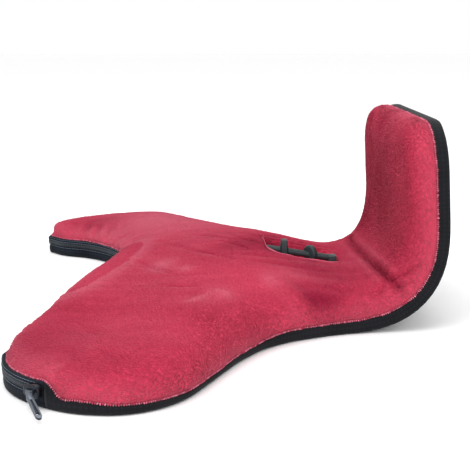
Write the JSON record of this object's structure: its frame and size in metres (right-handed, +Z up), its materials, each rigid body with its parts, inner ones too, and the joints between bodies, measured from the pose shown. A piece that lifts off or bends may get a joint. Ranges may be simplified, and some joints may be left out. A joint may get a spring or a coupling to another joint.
{
  "type": "tablet pillow with a bent-up back rest",
  "caption": "Plush tablet pillow with a whale tail outline, a zip round the tail, a small stop rail in a slot and a back rest bent up at the head.",
  "frame": {"origin": "on the underside, on the centre line of the head, 80 mm ahead of the near lobe's tip", "axes": "+X from the tail to the back rest, +Y away from the viewer towards the far lobe, +Z up; the underside lies on Z = 0"},
  "size_m": [0.2402, 0.4285, 0.1152],
  "materials": {
    "plush": "matte",
    "band_cloth": "matte",
    "zip_cloth": "matte",
    "zip_nylon": "satin",
    "dark_metal": "satin",
    "rail_plastic": "satin"
  },
  "bodies": {
    "root": {"cushion": "plush", "underside_panel": "band_cloth", "side_band": "band_cloth", "zip_tape_lower": "zip_cloth", "zip_tape_upper": "zip_cloth", "zip_chain": "zip_nylon", "zip_slider": "dark_metal", "zip_puller": "dark_metal", "stop_rail": "rail_plastic", "stop_knob": "rail_plastic"}
  },
  "joints": []
}
